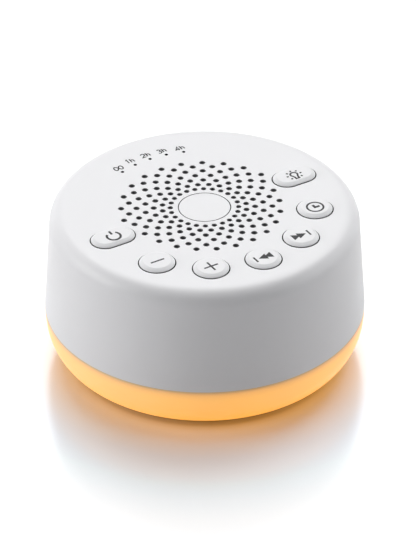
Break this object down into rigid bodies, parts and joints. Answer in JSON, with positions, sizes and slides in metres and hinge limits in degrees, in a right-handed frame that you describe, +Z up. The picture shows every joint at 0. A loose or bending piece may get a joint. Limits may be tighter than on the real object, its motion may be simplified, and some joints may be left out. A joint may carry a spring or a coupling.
{
  "type": "white noise sound machine",
  "caption": "Squat round bedside sound machine: a white housing with press keys around a perforated speaker grille, over a glowing warm light ring, on rubber feet.",
  "frame": {"origin": "on the table, under the middle of the round body", "axes": "+Z up through the speaker grille, -Y towards the row of round keys (front), +Y towards the power inlet (back), +X right"},
  "size_m": [0.1, 0.1, 0.0532],
  "materials": {
    "white_abs": "fine satin ABS",
    "opal_diffuser": "opal polycarbonate, lit from inside",
    "black_rubber": "matte silicone rubber",
    "screw_steel": "zinc-plated",
    "switch_plastic": "black nylon",
    "circuit_board": "green solder mask on glass epoxy",
    "white_board": "white solder mask on aluminium",
    "led_case": "phosphor in clear resin, lit",
    "clear_acrylic": "clear acrylic",
    "speaker_cloth": "fine black polyester mesh",
    "foam": "closed-cell foam",
    "basket_steel": "black passivated steel",
    "paper_cone": "black pulp paper",
    "spider_cloth": "phenolic-dipped cotton",
    "copper_coil": "enamelled copper wire on a kapton former",
    "ferrite": "sintered ferrite",
    "plate_steel": "zinc-plated mild steel",
    "terminal_strip": "phenolic strip with tinned lugs",
    "chip_epoxy": "moulded epoxy",
    "capacitor_can": "aluminium can",
    "socket_nylon": "natural nylon",
    "inlet_plastic": "black polyester",
    "pin_nickel": "nickel-plated brass",
    "lead_pvc": "red and black PVC",
    "flat_lead": "grey PVC ribbon"
  },
  "bodies": {
    "housing": {"top_housing": "white_abs", "centre_cap": "white_abs", "light_ring": "opal_diffuser", "bottom_cover": "white_abs", "rubber_feet": "black_rubber", "cover_screws": "screw_steel", "chassis": "white_abs", "case_screws": "screw_steel", "tact_switches": "switch_plastic", "key_board": "circuit_board", "key_board_screws": "screw_steel", "timer_leds": "led_case", "timer_light_guide": "clear_acrylic", "dust_cloth": "speaker_cloth", "speaker_gasket": "foam", "speaker_basket": "basket_steel", "speaker_surround": "black_rubber", "speaker_spider": "spider_cloth", "front_plate": "plate_steel", "ring_magnet": "ferrite", "speaker_yoke": "plate_steel", "speaker_terminals": "terminal_strip", "speaker_screws": "screw_steel", "main_board": "circuit_board", "main_board_screws": "screw_steel", "sound_chip": "chip_epoxy", "memory_chip": "chip_epoxy", "amplifier_chip": "chip_epoxy", "capacitors": "capacitor_can", "chip_resistors": "chip_epoxy", "lead_sockets": "socket_nylon", "dc_inlet": "inlet_plastic", "dc_inlet_pin": "pin_nickel", "light_board": "white_board", "warm_leds": "led_case", "light_board_screws": "screw_steel", "speaker_leads": "lead_pvc", "key_lead": "flat_lead", "light_leads": "lead_pvc"},
    "power_button": {"power_key": "white_abs", "power_plunger": "switch_plastic"},
    "minus_button": {"minus_key": "white_abs", "minus_plunger": "switch_plastic"},
    "plus_button": {"plus_key": "white_abs", "plus_plunger": "switch_plastic"},
    "previous_button": {"previous_key": "white_abs", "previous_plunger": "switch_plastic"},
    "next_button": {"next_key": "white_abs", "next_plunger": "switch_plastic"},
    "timer_button": {"timer_key": "white_abs", "timer_plunger": "switch_plastic"},
    "light_button": {"light_key": "white_abs", "light_plunger": "switch_plastic"},
    "speaker_cone": {"speaker_cone": "paper_cone", "dust_dome": "paper_cone", "voice_coil": "copper_coil"}
  },
  "joints": [
    {"name": "power_press", "type": "slide", "parent": "housing", "child": "power_button", "axis": [0, 0, -1], "range_m": [0, 0.0005], "stiffness_N_per_m": 3500, "springref_m": -0.0002},
    {"name": "minus_press", "type": "slide", "parent": "housing", "child": "minus_button", "axis": [0, 0, -1], "range_m": [0, 0.0005], "stiffness_N_per_m": 3500, "springref_m": -0.0002},
    {"name": "plus_press", "type": "slide", "parent": "housing", "child": "plus_button", "axis": [0, 0, -1], "range_m": [0, 0.0005], "stiffness_N_per_m": 3500, "springref_m": -0.0002},
    {"name": "previous_press", "type": "slide", "parent": "housing", "child": "previous_button", "axis": [0, 0, -1], "range_m": [0, 0.0005], "stiffness_N_per_m": 3500, "springref_m": -0.0002},
    {"name": "next_press", "type": "slide", "parent": "housing", "child": "next_button", "axis": [0, 0, -1], "range_m": [0, 0.0005], "stiffness_N_per_m": 3500, "springref_m": -0.0002},
    {"name": "timer_press", "type": "slide", "parent": "housing", "child": "timer_button", "axis": [0, 0, -1], "range_m": [0, 0.0005], "stiffness_N_per_m": 3500, "springref_m": -0.0002},
    {"name": "light_press", "type": "slide", "parent": "housing", "child": "light_button", "axis": [0, 0, -1], "range_m": [0, 0.0005], "stiffness_N_per_m": 3500, "springref_m": -0.0002},
    {"name": "speaker_cone_travel", "type": "slide", "parent": "housing", "child": "speaker_cone", "axis": [0, 0, 1], "range_m": [-0.0008, 0.0008], "stiffness_N_per_m": 2000, "deforming": ["speaker_surround", "speaker_spider"]}
  ]
}
